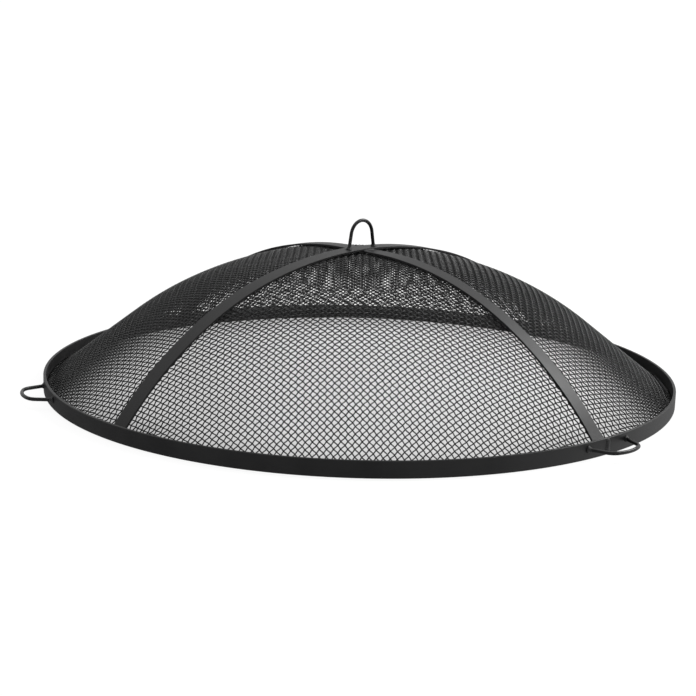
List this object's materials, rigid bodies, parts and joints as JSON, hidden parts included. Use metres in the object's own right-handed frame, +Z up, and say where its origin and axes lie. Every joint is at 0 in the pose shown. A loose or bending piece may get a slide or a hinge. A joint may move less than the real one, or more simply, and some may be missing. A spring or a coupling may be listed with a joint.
{
  "type": "fire pit spark screen",
  "caption": "Round domed wire-mesh lid for a fire pit, on a flat-bar rim, with crossed straps and wire loop handles.",
  "frame": {"origin": "on the rim band's axis, in the plane of its lower edge, where the lid rests", "axes": "+Z up along the rim's axis; the lower strap runs along X, the upper strap along Y; +X points at the right-hand side handle and the rim seam"},
  "size_m": [0.9503, 0.9144, 0.2434],
  "materials": {
    "bar_steel": "satin black heat-resistant paint",
    "mesh_wire": "semi-gloss black paint on woven wire",
    "handle_wire": "semi-gloss black paint",
    "weld": "satin black paint over weld bead"
  },
  "bodies": {
    "root": {"rim_band": "bar_steel", "rim_seam_weld": "weld", "inner_hoop": "bar_steel", "hoop_tack_welds": "weld", "mesh_dome": "mesh_wire", "upper_strap": "bar_steel", "lower_strap": "bar_steel", "strap_crossing_weld": "weld", "upper_strap_end_welds": "weld", "lower_strap_end_welds": "weld", "top_handle": "handle_wire", "top_handle_front_weld": "weld", "top_handle_rear_weld": "weld", "side_handle_right": "handle_wire", "side_handle_right_welds": "weld", "side_handle_left": "handle_wire", "side_handle_left_welds": "weld", "side_handle_rear": "handle_wire", "side_handle_rear_welds": "weld"}
  },
  "joints": []
}
